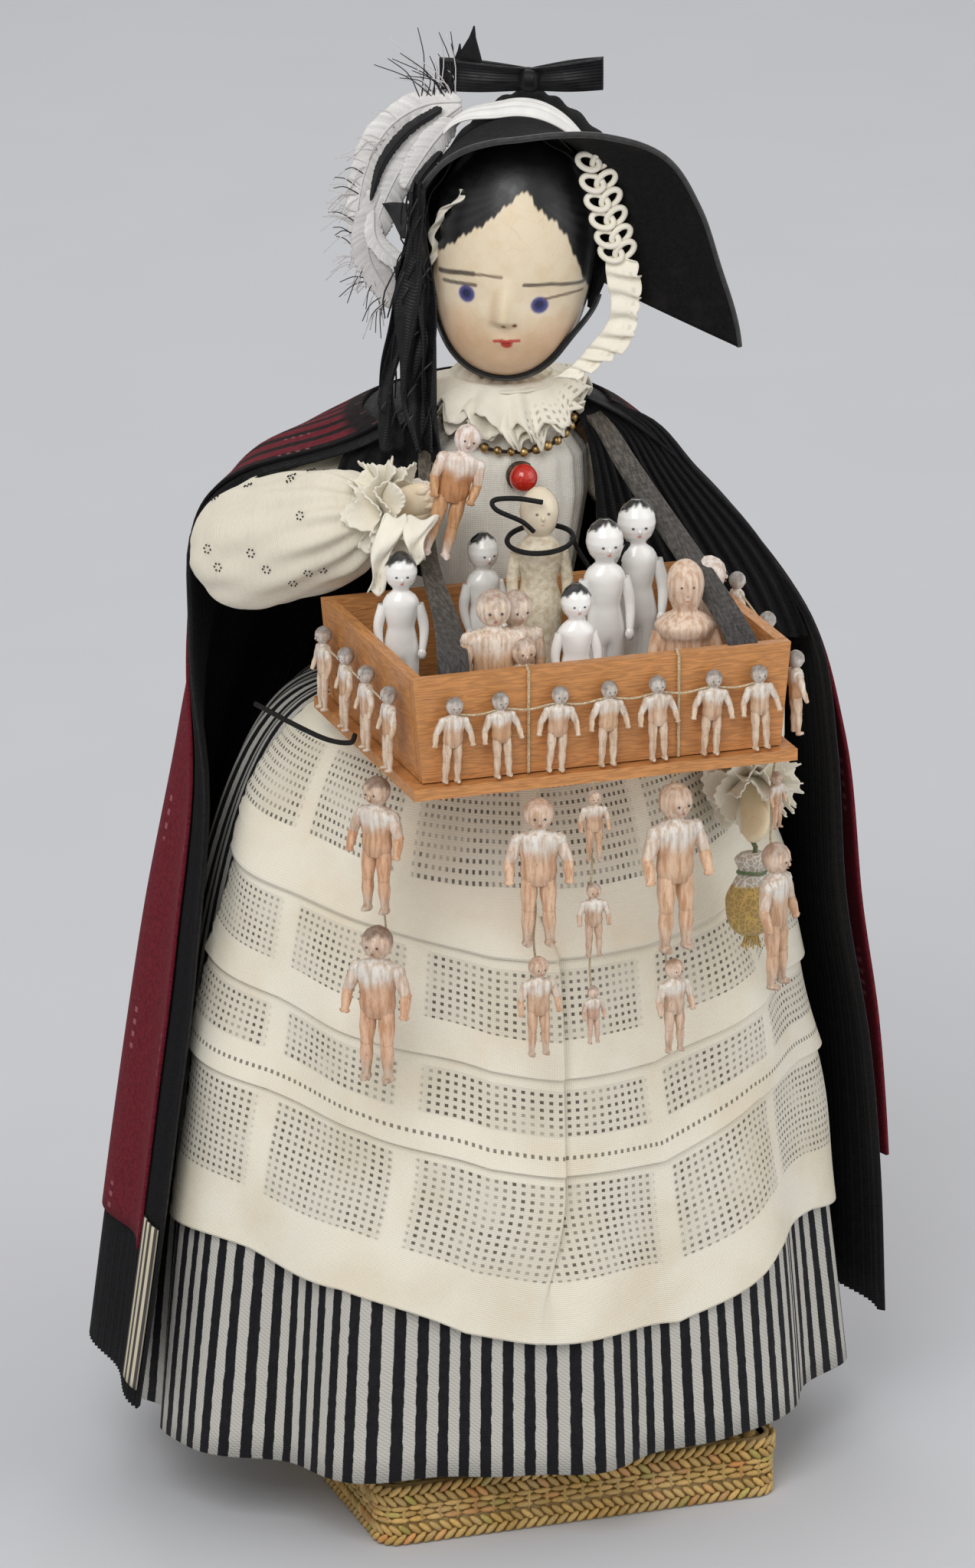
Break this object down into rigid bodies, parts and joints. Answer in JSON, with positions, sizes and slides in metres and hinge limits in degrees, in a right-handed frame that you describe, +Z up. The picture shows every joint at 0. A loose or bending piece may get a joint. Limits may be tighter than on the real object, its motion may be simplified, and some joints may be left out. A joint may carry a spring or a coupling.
{
  "type": "pedlar doll",
  "caption": "Carved wooden pedlar doll in bonnet, cape, striped skirt and muslin apron, on a straw base, with a strapped tray of tiny dolls and dolls hung on threads below it.",
  "frame": {"origin": "centre of the base block's underside", "axes": "+Z up, the doll's front and its tray look towards -Y, +X is the doll's own left"},
  "size_m": [0.1576, 0.1509, 0.2794],
  "materials": {
    "straw": "plaited straw",
    "wood": "oiled",
    "pale_wood": "painted in part",
    "painted_wood": "painted and varnished",
    "cedar": "waxed",
    "linen": "soft",
    "muslin": "openwork",
    "stripe": "striped cotton",
    "red_wool": "felted",
    "black_silk": "pleated",
    "felt": "felted",
    "lace": "lace",
    "feather": "downy",
    "strap": "worn",
    "brass": "aged",
    "bead": "polished",
    "china": "glazed",
    "kid": "stuffed kid",
    "brown_wood": "carved",
    "silk": "silk"
  },
  "bodies": {
    "figure": {"base_block": "wood", "straw_band": "straw", "straw_top_mat": "straw", "torso": "wood", "shoulder_dowel": "pale_wood", "hip_dowel": "pale_wood", "right_leg": "pale_wood", "left_leg": "pale_wood", "petticoat": "linen", "skirt": "stripe", "apron": "muslin", "bodice": "linen", "collar_frill": "lace", "bead_necklace": "brass", "brooch": "bead", "cape": "red_wool", "shawl": "black_silk"},
    "head": {"head": "painted_wood", "bonnet_brim": "felt", "bonnet_crown": "felt", "bonnet_band": "lace", "bonnet_bow": "black_silk", "bonnet_feathers": "feather", "bonnet_frill": "lace", "chin_ribbon": "black_silk"},
    "right_upper_arm": {"right_upper_arm": "pale_wood", "right_elbow_peg": "wood", "right_sleeve": "linen"},
    "right_forearm": {"right_forearm": "pale_wood", "right_cuff": "lace", "held_doll": "pale_wood"},
    "left_upper_arm": {"left_upper_arm": "pale_wood", "left_elbow_peg": "wood", "left_sleeve": "linen"},
    "left_forearm": {"left_forearm": "pale_wood", "left_cuff": "lace", "purse": "silk"},
    "tray": {"tray_bottom": "cedar", "tray_front": "cedar", "tray_back": "cedar", "tray_left_end": "cedar", "tray_right_end": "cedar", "tray_strap": "strap", "front_row_dolls": "pale_wood", "left_row_dolls": "pale_wood", "right_row_dolls": "pale_wood", "china_doll_left": "china", "china_doll_back": "china", "china_bust": "china", "china_doll_middle": "china", "china_doll_right": "china", "kid_doll": "kid", "baby_doll": "brown_wood", "tray_wooden_dolls": "pale_wood", "leaning_doll": "pale_wood"},
    "hang_left": {"hang_left": "pale_wood"},
    "hang_centre": {"hang_centre": "pale_wood"},
    "hang_small": {"hang_small": "pale_wood"},
    "hang_right_centre": {"hang_right_centre": "pale_wood"},
    "hang_right": {"hang_right": "pale_wood"}
  },
  "joints": [
    {"name": "neck_turn", "type": "hinge", "parent": "figure", "child": "head", "pos_m": [-0.0026, -0.004, 0.2125], "axis": [0, 0, 1], "range_deg": [-8, 25]},
    {"name": "right_shoulder", "type": "hinge", "parent": "figure", "child": "right_upper_arm", "pos_m": [-0.0281, 0.002, 0.2015], "axis": [-1, 0, 0], "range_deg": [0, 12], "deforming": ["right_sleeve"]},
    {"name": "right_elbow", "type": "hinge", "parent": "right_upper_arm", "child": "right_forearm", "pos_m": [-0.0526, -0.003, 0.1885], "axis": [-0.4815, 0.0932, 0.8715], "range_deg": [-3.5, 4], "deforming": ["right_sleeve"]},
    {"name": "left_shoulder", "type": "hinge", "parent": "figure", "child": "left_upper_arm", "pos_m": [0.0189, 0.002, 0.2015], "axis": [-1, 0, 0], "range_deg": [0, 5], "deforming": ["left_sleeve"]},
    {"name": "left_elbow", "type": "hinge", "parent": "left_upper_arm", "child": "left_forearm", "pos_m": [0.0444, -0.006, 0.1655], "axis": [-0.6354, 0.5245, -0.5667], "range_deg": [-4, 8], "deforming": ["left_sleeve"]},
    {"name": "tray_swing", "type": "hinge", "parent": "figure", "child": "tray", "pos_m": [-0.0076, -0.008, 0.2125], "axis": [-1, 0, 0], "range_deg": [0, 6], "deforming": ["tray_strap"]},
    {"name": "hang_left_swing", "type": "hinge", "parent": "tray", "child": "hang_left", "pos_m": [-0.04545, -0.058, 0.1617], "axis": [0, 1, 0], "range_deg": [-8, 22]},
    {"name": "hang_centre_swing", "type": "hinge", "parent": "tray", "child": "hang_centre", "pos_m": [-0.0211, -0.07815, 0.1617], "axis": [-1, 0, 0], "range_deg": [-8, 22]},
    {"name": "hang_small_swing", "type": "hinge", "parent": "tray", "child": "hang_small", "pos_m": [-0.0104, -0.07815, 0.1617], "axis": [-1, 0, 0], "range_deg": [-8, 22]},
    {"name": "hang_right_centre_swing", "type": "hinge", "parent": "tray", "child": "hang_right_centre", "pos_m": [0.0054, -0.07815, 0.1617], "axis": [-1, 0, 0], "range_deg": [-8, 22]},
    {"name": "hang_right_swing", "type": "hinge", "parent": "tray", "child": "hang_right", "pos_m": [0.03025, -0.065, 0.1617], "axis": [0, -1, 0], "range_deg": [-8, 22]}
  ]
}
